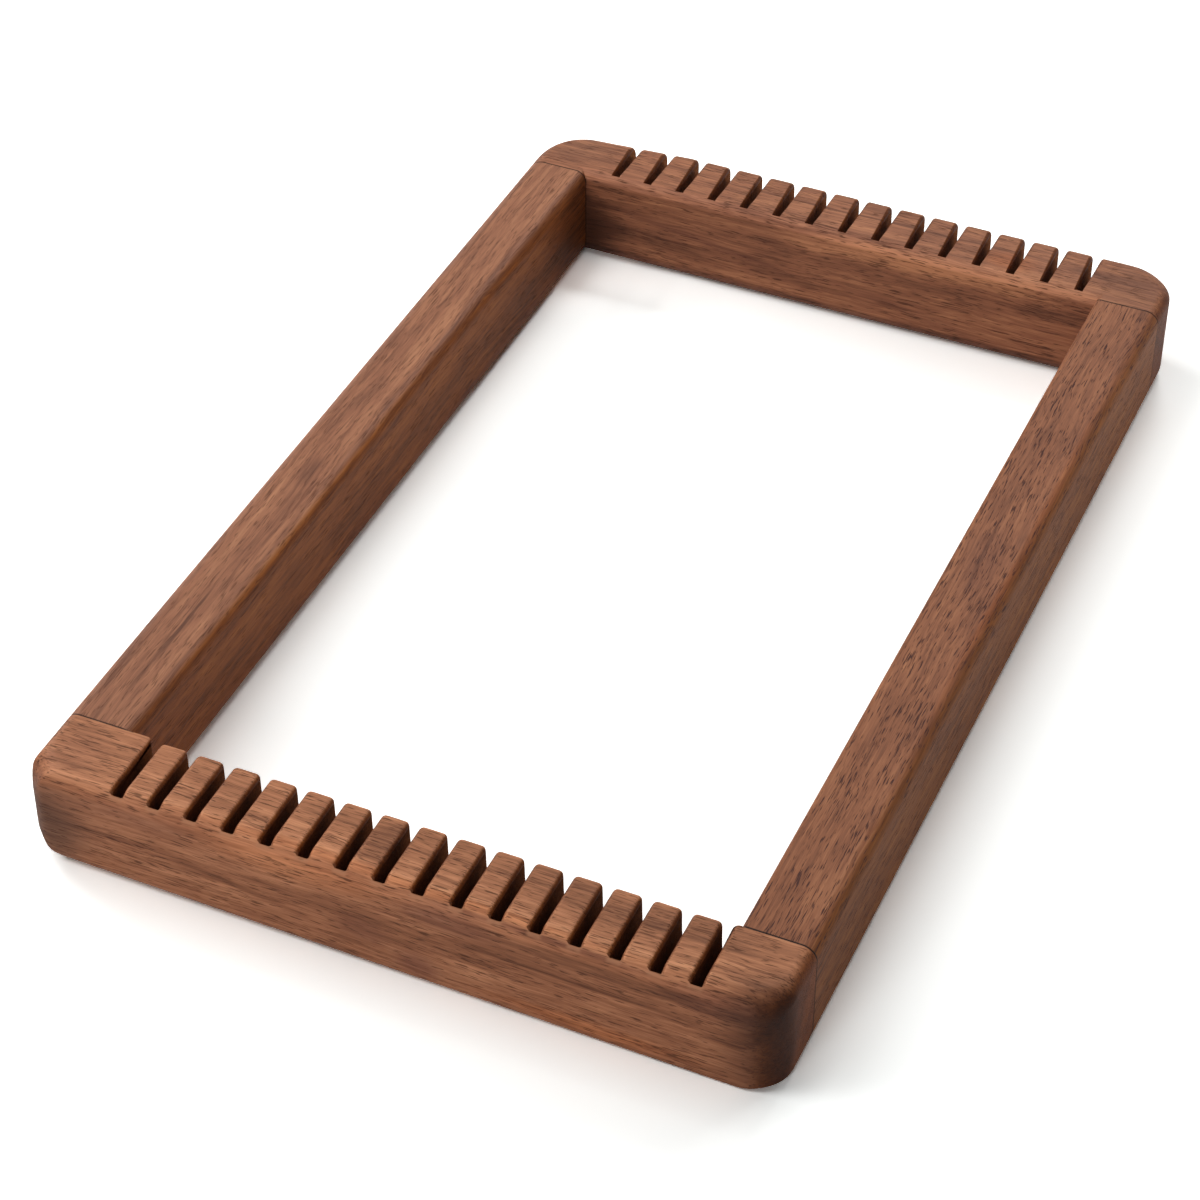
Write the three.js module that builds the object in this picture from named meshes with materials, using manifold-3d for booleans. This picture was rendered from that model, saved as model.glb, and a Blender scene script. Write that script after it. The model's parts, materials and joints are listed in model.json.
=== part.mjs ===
// Notched frame loom: four walnut rails butted together on hidden dowels, with a row of weaving
// notches in each end rail. Units are millimetres and +Z is up. The near end rail is at -Y and
// the origin is on the underside, in the middle of the frame.
import * as THREE from "three";
import { mergeVertices } from "three/addons/utils/BufferGeometryUtils.js";
import Module from "manifold-3d";

// Overall frame and rails
const FRAME_WIDTH = 200;
const FRAME_LENGTH = 318;
const FRAME_HEIGHT = 30;
const END_RAIL_DEPTH = 22;
const SIDE_RAIL_WIDTH = 19;

// The four outer corners. They are shaped by hand, so no two are alike. Each has its radius seen
// from above, half way up, at the top and at the underside, how high its rounds reach in its
// middle, and the rounds on the side's and the end's edges where they meet it
const NEAR_RIGHT_CORNER = {
  radius: 10,
  top: { radius: 8, rise: 6.5, side: 4, end: 5 },
  bottom: { radius: 11, rise: 2, side: 2, end: 1 },
};
const FAR_RIGHT_CORNER = {
  radius: 12,
  top: { radius: 14, rise: 4, side: 4, end: 2.5 },
  bottom: { radius: 8.5, rise: 3.5, side: 3.5, end: 3.5 },
};
const FAR_LEFT_CORNER = {
  radius: 18,
  top: { radius: 8, rise: 6.5, side: 5, end: 6 },
  bottom: { radius: 14.5, rise: 3.5, side: 3.5, end: 3.5 },
};
const NEAR_LEFT_CORNER = {
  radius: 5.5,
  top: { radius: 8, rise: 9.5, side: 3.5, end: 5 },
  bottom: { radius: 14, rise: 9.5, side: 3.5, end: 4.5 },
};

// Rounded long edges. The back top round is an even one up to the taper, and widens from there to
// the far left corner
const BACK_TOP_ROUND = 2.5;
const BACK_BOTTOM_ROUND = 3.5;
const BACK_TAPER = 45;
const NEAR_INNER_TOP_ROUND = 2;
const FAR_INNER_TOP_ROUND = 3.5;
const LEFT_INNER_TOP_ROUND = 3.5;
const RIGHT_INNER_TOP_ROUND = 1.5;
const INNER_BOTTOM_ROUND = 5;

// Notches: each one is blind behind the -Y edge of its rail and open through the +Y face
const NOTCH_WIDTH = 2.6;
const NOTCH_DEPTH = 12;
const NOTCH_RIM_EASE = 1.3;
const NOTCH_MOUTH_EASE = 1.2;
const NEAR_NOTCHES = { count: 16, pitch: 10.15, shift: 1.9, endWall: 1.5 };
const FAR_NOTCHES = { count: 15, pitch: 10.5, shift: 1.4, endWall: 2.2 };

// Dowels: two at each corner, one above the other on the middle line of the side rail
const DOWEL_DIAMETER = 8;
const DOWEL_SPACING = 12;
const DOWEL_IN_SIDE_RAIL = 16;
const DOWEL_IN_END_RAIL = 14;
const DOWEL_CLEARANCE = 0.3;
const DOWEL_END_GAP = 0.5;
const DOWEL_CHAMFER = 1;
const FLUTE_COUNT = 10;
const FLUTE_DEPTH = 0.4;

// Smoothness of the curves, and how far a cutter runs past the wood
const CORNER_STEPS = 10;
const ROUND_STEPS = 6;
const EASE_STEPS = 3;
const HOLE_SIDES = 32;
const POINTS_PER_FLUTE = 4;
const OVERCUT = 1;

// Places worked out from the sizes above
const OUTER_X = FRAME_WIDTH / 2;
const OUTER_Y = FRAME_LENGTH / 2;
const OPENING_X = OUTER_X - SIDE_RAIL_WIDTH;
const OPENING_Y = OUTER_Y - END_RAIL_DEPTH;
const QUARTER_TURN = Math.PI / 2;

const WALNUT_COLOURS = { near: 0x85573b, far: 0x7c5037, left: 0x8c5f41, right: 0x875c42 };
const BEECH_COLOUR = 0xcaa677;

const wasm = await Module();
wasm.setup();

// Turns a closed geometry into a solid that can be joined and cut.
function solidFrom(geometry) {
  const bare = geometry.index && !geometry.attributes.normal ? geometry : weld(geometry);
  return new wasm.Manifold(new wasm.Mesh({
    numProp: 3,
    vertProperties: new Float32Array(bare.attributes.position.array),
    triVerts: new Uint32Array(bare.index.array),
  }));
}

// Merges the corners that neighbouring faces share, so that the surface closes.
function weld(geometry) {
  geometry.deleteAttribute("normal");
  geometry.deleteAttribute("uv");
  return mergeVertices(geometry);
}

// Turns a cut solid back into a geometry.
function geometryFrom(solid) {
  const { vertProperties, triVerts } = solid.getMesh();
  const geometry = new THREE.BufferGeometry();
  geometry.setAttribute("position", new THREE.BufferAttribute(vertProperties, 3));
  geometry.setIndex(new THREE.BufferAttribute(triVerts, 1));
  return geometry;
}

// A block between two opposite corners.
function block(low, high) {
  const size = new THREE.Vector3(...high).sub(new THREE.Vector3(...low));
  const middle = new THREE.Vector3(...low).addScaledVector(size, 0.5);
  return solidFrom(new THREE.BoxGeometry(size.x, size.y, size.z).translate(...middle));
}

// A prism along X, Y or Z. Its outline is in (Y, Z), (X, Z) or (X, Y).
function prism(outline, axis, from, to) {
  const geometry = new THREE.ExtrudeGeometry(new THREE.Shape(outline), {
    depth: to - from,
    bevelEnabled: false,
  });
  const turn = new THREE.Matrix4();
  if (axis === "x") {
    turn.makeBasis(new THREE.Vector3(0, 1, 0), new THREE.Vector3(0, 0, 1), new THREE.Vector3(1, 0, 0));
    turn.setPosition(from, 0, 0);
  } else if (axis === "y") {
    turn.makeBasis(new THREE.Vector3(1, 0, 0), new THREE.Vector3(0, 0, 1), new THREE.Vector3(0, -1, 0));
    turn.setPosition(0, to, 0);
  } else {
    turn.setPosition(0, 0, from);
  }
  return solidFrom(geometry.applyMatrix4(turn));
}

// Points on a quarter circle, from one angle to the angle a quarter turn further on.
function quarterArc(centreX, centreY, radius, startAngle, steps, turn = 1) {
  return Array.from({ length: steps + 1 }, (_, i) => {
    const angle = startAngle + turn * QUARTER_TURN * i / steps;
    return new THREE.Vector2(centreX + radius * Math.cos(angle), centreY + radius * Math.sin(angle));
  });
}

// Outline of the waste outside a rounded edge. The sharp edge is at (edgeX, edgeY) and the wood
// lies on the side that (woodX, woodY), each 1 or -1, points to.
function edgeWaste(edgeX, edgeY, woodX, woodY, radius) {
  const arc = quarterArc(-radius, -radius, radius, 0, ROUND_STEPS);
  const waste = [
    ...arc,
    new THREE.Vector2(-radius, OVERCUT),
    new THREE.Vector2(OVERCUT, OVERCUT),
    new THREE.Vector2(OVERCUT, -radius),
  ];
  return waste.map((point) => new THREE.Vector2(edgeX - woodX * point.x, edgeY - woodY * point.y));
}

// The frame's four outer corners, anticlockwise from the near right one.
function outerCorners() {
  return [
    { ...NEAR_RIGHT_CORNER, signX: 1, signY: -1 },
    { ...FAR_RIGHT_CORNER, signX: 1, signY: 1 },
    { ...FAR_LEFT_CORNER, signX: -1, signY: 1 },
    { ...NEAR_LEFT_CORNER, signX: -1, signY: -1 },
  ];
}

// Steps through a rounded edge, from the face beside it to the flat face above or below: how much
// of its inset each step has, and how much of its rise is still left to that flat face.
function roundSteps() {
  return Array.from({ length: ROUND_STEPS + 1 }, (_, i) => {
    const angle = QUARTER_TURN * i / ROUND_STEPS;
    return { inset: 1 - Math.cos(angle), left: 1 - Math.sin(angle) };
  });
}

// A point on a corner's surface. The share runs from the side face at 0 to the end face at 1.
function cornerPoint(corner, share, level, { inset, left }) {
  const { lerp } = THREE.MathUtils;
  const edges = corner[level];
  const angle = share * QUARTER_TURN;
  const radius = lerp(corner.radius, edges.radius, inset);
  const edgeRise = lerp(edges.side, edges.end, share);
  const rise = lerp(edgeRise, Math.max(edges.rise, edgeRise), Math.sin(Math.PI * share) ** 2);
  return [
    corner.signX * (OUTER_X - edges.side * inset - radius + radius * Math.cos(angle)),
    corner.signY * (OUTER_Y - edges.end * inset - radius + radius * Math.sin(angle)),
    level === "top" ? FRAME_HEIGHT - rise * left : rise * left,
  ];
}

// A point on the back face's edges, where the back top round starts to widen.
function taperPoint(level, { inset, left }) {
  const round = level === "top" ? BACK_TOP_ROUND : BACK_BOTTOM_ROUND;
  return [
    BACK_TAPER - OUTER_X,
    OUTER_Y - round * inset,
    level === "top" ? FRAME_HEIGHT - round * left : round * left,
  ];
}

// A ring of points round the frame at one step of the top or bottom rounds, anticlockwise.
function ring(level, step) {
  const [nearRight, farRight, farLeft, nearLeft] = outerCorners().map((corner, i) => {
    const points = Array.from({ length: CORNER_STEPS + 1 }, (_, j) =>
      cornerPoint(corner, j / CORNER_STEPS, level, step));
    return i % 2 === 0 ? points.reverse() : points;
  });
  return [...nearRight, ...farRight, taperPoint(level, step), ...farLeft, ...nearLeft];
}

// The frame's outer body before it is divided into rails: a block with rounded corners and
// rounded outer edges, lofted through rings from the underside to the top.
function roundedBlank() {
  const rings = [
    ...roundSteps().reverse().map((step) => ring("bottom", step)),
    ...roundSteps().map((step) => ring("top", step)),
  ];
  return solidFrom(loft(rings.flat(2), rings.length, rings[0].length));
}

// A closed skin over rings with the same number of points, with a flat fan on both ends.
function loft(positions, ringCount, pointCount) {
  const index = [];
  for (let ring = 0; ring < ringCount - 1; ring += 1) {
    for (let point = 0; point < pointCount; point += 1) {
      const next = (point + 1) % pointCount;
      const low = ring * pointCount;
      const high = low + pointCount;
      index.push(low + point, low + next, high + next, low + point, high + next, high + point);
    }
  }
  const last = (ringCount - 1) * pointCount;
  for (let point = 1; point < pointCount - 1; point += 1) {
    index.push(0, point + 1, point);
    index.push(last, last + point, last + point + 1);
  }
  const geometry = new THREE.BufferGeometry();
  geometry.setAttribute("position", new THREE.Float32BufferAttribute(positions, 3));
  geometry.setIndex(index);
  return geometry;
}

// The two dowel heights of a corner joint.
function dowelHeights() {
  return [-1, 1].map((side) => FRAME_HEIGHT / 2 + side * DOWEL_SPACING / 2);
}

// The four corner joints, each with its side of the frame and its end.
function cornerJoints() {
  return [
    { name: "near_left", signX: -1, signY: -1 },
    { name: "near_right", signX: 1, signY: -1 },
    { name: "far_left", signX: -1, signY: 1 },
    { name: "far_right", signX: 1, signY: 1 },
  ];
}

// Every dowel with its middle point. A dowel crosses the joint from the side rail into the end
// rail and stops short of the outer face, where the wood covers it.
function dowelPlaces() {
  const middleY = OPENING_Y + (DOWEL_IN_END_RAIL - DOWEL_IN_SIDE_RAIL) / 2;
  return cornerJoints().flatMap((joint) => dowelHeights().map((z, i) => ({
    name: `${joint.name}_${i === 0 ? "lower" : "upper"}_dowel`,
    x: joint.signX * (OUTER_X - SIDE_RAIL_WIDTH / 2),
    y: joint.signY * middleY,
    z,
  })));
}

function dowelLength() {
  return DOWEL_IN_SIDE_RAIL + DOWEL_IN_END_RAIL;
}

// The blind holes that all the dowels need. Each spans the joint, so that one cut serves both rails.
function dowelHoles() {
  const radius = DOWEL_DIAMETER / 2 + DOWEL_CLEARANCE;
  const length = dowelLength() + 2 * DOWEL_END_GAP;
  return dowelPlaces().map(({ x, y, z }) =>
    solidFrom(new THREE.CylinderGeometry(radius, radius, length, HOLE_SIDES).translate(x, y, z)));
}

// A dowel on the Y axis, with straight glue flutes and chamfered ends.
function dowelGeometry() {
  const half = dowelLength() / 2;
  const radius = DOWEL_DIAMETER / 2;
  const pointCount = FLUTE_COUNT * POINTS_PER_FLUTE;
  const rings = [
    { y: half, shrink: DOWEL_CHAMFER },
    { y: half - DOWEL_CHAMFER, shrink: 0 },
    { y: DOWEL_CHAMFER - half, shrink: 0 },
    { y: -half, shrink: DOWEL_CHAMFER },
  ];
  const positions = rings.flatMap(({ y, shrink }) =>
    Array.from({ length: pointCount }, (_, i) => {
      const angle = 2 * Math.PI * i / pointCount;
      const flute = FLUTE_DEPTH * (1 - Math.cos(FLUTE_COUNT * angle)) / 2;
      const reach = radius - shrink - flute;
      return [reach * Math.cos(angle), y, reach * Math.sin(angle)];
    }).flat());
  return loft(positions, rings.length, pointCount);
}

// Outline of a notch in (X, Z), with the wood's rim rounded over at the top of both walls.
function notchSection(x) {
  const half = NOTCH_WIDTH / 2;
  const floor = FRAME_HEIGHT - NOTCH_DEPTH;
  const rimZ = FRAME_HEIGHT - NOTCH_RIM_EASE;
  const rimX = half + NOTCH_RIM_EASE;
  const above = FRAME_HEIGHT + OVERCUT;
  return [
    new THREE.Vector2(x - half, floor),
    new THREE.Vector2(x + half, floor),
    ...quarterArc(x + rimX, rimZ, NOTCH_RIM_EASE, Math.PI, EASE_STEPS, -1),
    new THREE.Vector2(x + rimX, above),
    new THREE.Vector2(x - rimX, above),
    ...quarterArc(x - rimX, rimZ, NOTCH_RIM_EASE, QUARTER_TURN, EASE_STEPS, -1),
  ];
}

// Outline of the flare at a notch's open end in (X, Y), which eases both upright edges.
function mouthSection(x, openY) {
  const half = NOTCH_WIDTH / 2;
  const easeY = openY - NOTCH_MOUTH_EASE;
  const easeX = half + NOTCH_MOUTH_EASE;
  const beyond = openY + OVERCUT;
  return [
    new THREE.Vector2(x - half, easeY),
    new THREE.Vector2(x + half, easeY),
    ...quarterArc(x + easeX, easeY, NOTCH_MOUTH_EASE, Math.PI, EASE_STEPS, -1).slice(1),
    new THREE.Vector2(x + easeX, beyond),
    new THREE.Vector2(x - easeX, beyond),
    ...quarterArc(x - easeX, easeY, NOTCH_MOUTH_EASE, QUARTER_TURN, EASE_STEPS, -1).slice(0, -1),
  ];
}

// One notch's waste, from its blind end at closedY to beyond the open face at openY.
function notchWaste(x, closedY, openY) {
  const kerf = prism(notchSection(x), "y", closedY, openY + OVERCUT);
  const mouth = prism(mouthSection(x, openY), "z", FRAME_HEIGHT - NOTCH_DEPTH, FRAME_HEIGHT + OVERCUT);
  return kerf.add(mouth);
}

// The middle of each notch along X.
function notchPlaces({ count, pitch, shift }) {
  return Array.from({ length: count }, (_, i) => shift + (i - (count - 1) / 2) * pitch);
}

// The waste outside the rounded inner edges of an end rail, between the side rails.
function endRailEdgeWaste(faceY, woodY, topRound) {
  return [
    prism(edgeWaste(faceY, FRAME_HEIGHT, woodY, -1, topRound), "x", -OPENING_X, OPENING_X),
    prism(edgeWaste(faceY, 0, woodY, 1, INNER_BOTTOM_ROUND), "x", -OPENING_X, OPENING_X),
  ];
}

// The waste outside the rounded inner edges of a side rail, over its whole length.
function sideRailEdgeWaste(faceX, woodX, topRound) {
  const end = OPENING_Y + OVERCUT;
  return [
    prism(edgeWaste(faceX, FRAME_HEIGHT, woodX, -1, topRound), "y", -end, end),
    prism(edgeWaste(faceX, 0, woodX, 1, INNER_BOTTOM_ROUND), "y", -end, end),
  ];
}

// An end rail: its slab of the blank, less its inner edges, its notches and its dowel holes.
function endRail(signY, notches, innerTopRound) {
  const outerY = OUTER_Y + OVERCUT;
  const [lowY, highY] = signY < 0 ? [-outerY, -OPENING_Y] : [OPENING_Y, outerY];
  const slab = block([-OUTER_X - OVERCUT, lowY, -OVERCUT], [OUTER_X + OVERCUT, highY, FRAME_HEIGHT + OVERCUT]);
  const frontY = signY < 0 ? -OUTER_Y : OPENING_Y;
  const openY = frontY + END_RAIL_DEPTH;
  const waste = [
    ...endRailEdgeWaste(signY * OPENING_Y, signY, innerTopRound),
    ...notchPlaces(notches).map((x) => notchWaste(x, frontY + notches.endWall, openY)),
    ...dowelHoles(),
  ];
  return waste.reduce((rail, cutter) => rail.subtract(cutter), roundedBlank().intersect(slab));
}

// A side rail: its slab of the blank, less its inner edges and its dowel holes.
function sideRail(signX, innerTopRound) {
  const outerX = OUTER_X + OVERCUT;
  const [lowX, highX] = signX < 0 ? [-outerX, -OPENING_X] : [OPENING_X, outerX];
  const slab = block([lowX, -OPENING_Y, -OVERCUT], [highX, OPENING_Y, FRAME_HEIGHT + OVERCUT]);
  const waste = [...sideRailEdgeWaste(signX * OPENING_X, signX, innerTopRound), ...dowelHoles()];
  return waste.reduce((rail, cutter) => rail.subtract(cutter), roundedBlank().intersect(slab));
}

function walnut(color) {
  return new THREE.MeshStandardMaterial({ color, roughness: 0.55, metalness: 0 });
}

function beech() {
  return new THREE.MeshStandardMaterial({ color: BEECH_COLOUR, roughness: 0.7, metalness: 0 });
}

function addPiece(group, name, geometry, material) {
  const piece = new THREE.Mesh(geometry, material);
  piece.name = name;
  group.add(piece);
  return piece;
}

const loom = new THREE.Group();
loom.name = "notched_frame_loom";

const nearRail = endRail(-1, NEAR_NOTCHES, NEAR_INNER_TOP_ROUND);
const farRail = endRail(1, FAR_NOTCHES, FAR_INNER_TOP_ROUND);
const leftRail = sideRail(-1, LEFT_INNER_TOP_ROUND);
const rightRail = sideRail(1, RIGHT_INNER_TOP_ROUND);

addPiece(loom, "near_notched_rail", geometryFrom(nearRail), walnut(WALNUT_COLOURS.near));
addPiece(loom, "far_notched_rail", geometryFrom(farRail), walnut(WALNUT_COLOURS.far));
addPiece(loom, "left_side_rail", geometryFrom(leftRail), walnut(WALNUT_COLOURS.left));
addPiece(loom, "right_side_rail", geometryFrom(rightRail), walnut(WALNUT_COLOURS.right));

for (const { name, x, y, z } of dowelPlaces()) {
  addPiece(loom, name, dowelGeometry(), beech()).position.set(x, y, z);
}

export default loom;
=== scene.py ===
"""Looks of a walnut frame loom: four rails sawn from one rounded blank, with notched end rails.

Sizes are in millimetres and become metres where they reach a mesh. +Z is up, the near notched
rail is at -Y, and the origin is on the table under the middle of the frame.
"""
import json
import logging
import math
from collections.abc import Callable, Iterator
from contextlib import contextmanager
from dataclasses import dataclass
from enum import Enum

import bmesh
import bpy
from mathutils import Matrix, Vector

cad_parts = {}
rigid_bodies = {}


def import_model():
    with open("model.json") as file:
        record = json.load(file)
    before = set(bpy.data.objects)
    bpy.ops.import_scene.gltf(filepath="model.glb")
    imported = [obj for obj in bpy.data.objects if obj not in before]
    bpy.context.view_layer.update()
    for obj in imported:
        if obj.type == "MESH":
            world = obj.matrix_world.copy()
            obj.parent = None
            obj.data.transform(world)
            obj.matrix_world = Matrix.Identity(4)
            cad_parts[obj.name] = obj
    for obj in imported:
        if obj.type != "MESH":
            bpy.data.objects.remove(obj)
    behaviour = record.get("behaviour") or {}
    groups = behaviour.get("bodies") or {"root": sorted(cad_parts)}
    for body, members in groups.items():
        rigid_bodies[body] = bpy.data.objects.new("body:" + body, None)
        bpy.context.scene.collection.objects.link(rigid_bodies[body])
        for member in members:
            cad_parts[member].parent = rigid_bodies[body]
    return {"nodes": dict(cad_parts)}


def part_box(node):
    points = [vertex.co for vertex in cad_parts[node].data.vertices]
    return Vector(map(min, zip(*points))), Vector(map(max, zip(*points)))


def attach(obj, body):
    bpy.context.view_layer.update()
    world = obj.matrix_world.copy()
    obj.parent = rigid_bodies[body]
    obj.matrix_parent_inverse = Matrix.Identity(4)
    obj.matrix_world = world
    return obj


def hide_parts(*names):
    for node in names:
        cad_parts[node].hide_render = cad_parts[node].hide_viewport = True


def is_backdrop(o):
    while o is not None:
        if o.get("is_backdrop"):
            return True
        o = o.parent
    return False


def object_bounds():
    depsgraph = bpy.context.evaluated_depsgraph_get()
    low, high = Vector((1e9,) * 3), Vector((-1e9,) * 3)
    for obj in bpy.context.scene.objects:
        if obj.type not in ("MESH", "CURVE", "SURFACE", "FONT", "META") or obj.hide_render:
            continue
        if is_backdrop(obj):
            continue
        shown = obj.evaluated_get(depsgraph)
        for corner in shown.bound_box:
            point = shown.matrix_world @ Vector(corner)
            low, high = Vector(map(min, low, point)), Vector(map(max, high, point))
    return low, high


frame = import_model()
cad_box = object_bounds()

log = logging.getLogger("frame_loom")

MILLIMETRE = 0.001
BODY = "root"
TOUCH = 0.01
QUARTER_TURN = math.pi / 2

Point = tuple[float, float, float]
EdgeTest = Callable[[Vector, Vector], bool]
FaceTest = Callable[[Vector, Vector], bool]


def millimetre_box(node: str) -> tuple[Vector, Vector]:
    """Gives a CAD node's box in millimetres.

    Args:
        node: The node's name.

    Returns:
        The lowest and the highest corner.
    """
    low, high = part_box(node)
    return low / MILLIMETRE, high / MILLIMETRE


@dataclass
class Workpiece:
    """A mesh being shaped at the bench, with its place kept in its mesh."""

    body: bpy.types.Object

    @staticmethod
    def deselect() -> None:
        """Leaves nothing selected, because an operator acts on all that is."""
        for thing in bpy.context.view_layer.objects:
            thing.select_set(False)

    @classmethod
    def _taken_up(cls, name: str) -> "Workpiece":
        """Names the primitive that was just added and moves its place into its mesh.

        Args:
            name: The piece's name.

        Returns:
            The piece.
        """
        body = bpy.context.active_object
        body.name = name
        bpy.ops.object.transform_apply(location=True, rotation=True, scale=True)
        return cls(body)

    @classmethod
    def block(cls, name: str, low: Vector | Point, high: Vector | Point) -> "Workpiece":
        """Adds a square block.

        Args:
            name: The block's name.
            low: Its lowest corner.
            high: Its highest corner.

        Returns:
            The block.
        """
        cls.deselect()
        low, high = Vector(low) * MILLIMETRE, Vector(high) * MILLIMETRE
        bpy.ops.mesh.primitive_cube_add(size=1, location=(low + high) / 2, scale=high - low)
        return cls._taken_up(name)

    @classmethod
    def rod(
        cls, name: str, start: Vector | Point, end: Vector | Point, radius: float, sides: int
    ) -> "Workpiece":
        """Adds a round rod.

        Args:
            name: The rod's name.
            start: The middle of one end.
            end: The middle of the other end.
            radius: The rod's radius.
            sides: How many flats stand for the round.

        Returns:
            The rod.
        """
        cls.deselect()
        start, end = Vector(start) * MILLIMETRE, Vector(end) * MILLIMETRE
        axis = end - start
        bpy.ops.mesh.primitive_cylinder_add(
            vertices=sides,
            radius=radius * MILLIMETRE,
            depth=axis.length,
            location=(start + end) / 2,
            rotation=axis.to_track_quat("Z", "Y").to_euler(),
        )
        return cls._taken_up(name)

    def copy(self, name: str) -> "Workpiece":
        """Gives a copy with a mesh of its own.

        Args:
            name: The copy's name.

        Returns:
            The copy.
        """
        body = self.body.copy()
        body.data = self.body.data.copy()
        body.name = name
        bpy.context.scene.collection.objects.link(body)
        return Workpiece(body)

    def discard(self) -> None:
        """Takes the piece off the bench."""
        bpy.data.objects.remove(self.body)

    def take_up(self) -> None:
        """Makes this the one selected and active object."""
        self.deselect()
        self.body.select_set(True)
        bpy.context.view_layer.objects.active = self.body

    @contextmanager
    def edited(self, mode: str = "VERT") -> Iterator[None]:
        """Opens the mesh for editing with nothing selected.

        Args:
            mode: What is selected in it: VERT, EDGE or FACE.

        Returns:
            A context in which the mesh is open.
        """
        self.take_up()
        bpy.ops.object.mode_set(mode="EDIT")
        bpy.ops.mesh.select_mode(type=mode)
        bpy.ops.mesh.select_all(action="DESELECT")
        yield
        bpy.ops.object.mode_set(mode="OBJECT")

    def pick_edges(self, test: EdgeTest) -> None:
        """Selects only the edges that pass a test.

        Args:
            test: The test on an edge's two ends, in millimetres.
        """
        mesh = bmesh.from_edit_mesh(self.body.data)
        chosen = [e for e in mesh.edges if test(*(v.co / MILLIMETRE for v in e.verts))]
        for edge in mesh.edges:
            edge.select = False
        for edge in chosen:
            edge.select = True
        bmesh.update_edit_mesh(self.body.data)

    def pick_faces(self, test: FaceTest) -> None:
        """Selects only the faces that pass a test.

        Args:
            test: The test on a face's middle, in millimetres, and its normal.
        """
        mesh = bmesh.from_edit_mesh(self.body.data)
        chosen = [f for f in mesh.faces if test(f.calc_center_median() / MILLIMETRE, f.normal)]
        for face in mesh.faces:
            face.select = False
        for face in chosen:
            face.select = True
        bmesh.update_edit_mesh(self.body.data)

    def bevel(self, test: EdgeTest, width: float, segments: int) -> None:
        """Rounds the edges that pass a test.

        Args:
            test: Tells from an edge's two ends whether it is rounded.
            width: The radius of the round.
            segments: How many flats make the round.
        """
        with self.edited("EDGE"):
            self.pick_edges(test)
            bpy.ops.mesh.bevel(
                offset_type="OFFSET",
                offset=width * MILLIMETRE,
                segments=segments,
                profile=0.5,
                affect="EDGES",
                clamp_overlap=False,
            )

    def reshape(self, rule: Callable[[Vector], Vector]) -> None:
        """Moves every point by a rule.

        Args:
            rule: Gives a point's new place from its present one, both in millimetres.
        """
        with self.edited():
            mesh = bmesh.from_edit_mesh(self.body.data)
            for vert in mesh.verts:
                vert.co = rule(vert.co / MILLIMETRE) * MILLIMETRE
            bmesh.update_edit_mesh(self.body.data)

    def saw(self, point: Point, waste: Point) -> None:
        """Saws through the piece and drops one side.

        Args:
            point: A point on the cut.
            waste: The direction from the cut to the side that is dropped.
        """
        with self.edited():
            bpy.ops.mesh.select_all(action="SELECT")
            bpy.ops.mesh.bisect(
                plane_co=Vector(point) * MILLIMETRE,
                plane_no=waste,
                use_fill=True,
                clear_outer=True,
                threshold=TOUCH * MILLIMETRE,
            )

    def shaped(self, kind: str, settings: dict[str, object]) -> None:
        """Adds a modifier and applies it.

        Args:
            kind: The modifier's type.
            settings: Its settings by name.
        """
        self.take_up()
        modifier = self.body.modifiers.new(kind.lower(), kind)
        for name, value in settings.items():
            setattr(modifier, name, value)
        bpy.ops.object.modifier_apply(modifier=modifier.name)

    def cut(self, cutter: "Workpiece") -> None:
        """Cuts another piece's shape out of this one and discards the cutter."""
        self.shaped("BOOLEAN", {"operation": "DIFFERENCE", "solver": "EXACT", "object": cutter.body})
        cutter.discard()

    def repeat(self, count: int, pitch: float) -> None:
        """Repeats the piece along +X.

        Args:
            count: How many there are.
            pitch: The distance from one to the next.
        """
        self.shaped("ARRAY", {
            "count": count,
            "use_relative_offset": False,
            "use_constant_offset": True,
            "constant_offset_displace": (pitch * MILLIMETRE, 0, 0),
        })

    def smooth(self, sharpest_round: float = 28.0) -> None:
        """Shades rounds smooth and keeps flat faces flat.

        Args:
            sharpest_round: The angle in degrees between two faces above which an edge stays sharp.
        """
        with self.edited():
            bpy.ops.mesh.select_all(action="SELECT")
            bpy.ops.mesh.normals_make_consistent(inside=False)
        self.take_up()
        bpy.ops.object.shade_smooth_by_angle(angle=math.radians(sharpest_round))
        self.shaped("WEIGHTED_NORMAL", {"mode": "FACE_AREA", "weight": 50, "keep_sharp": True})


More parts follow.
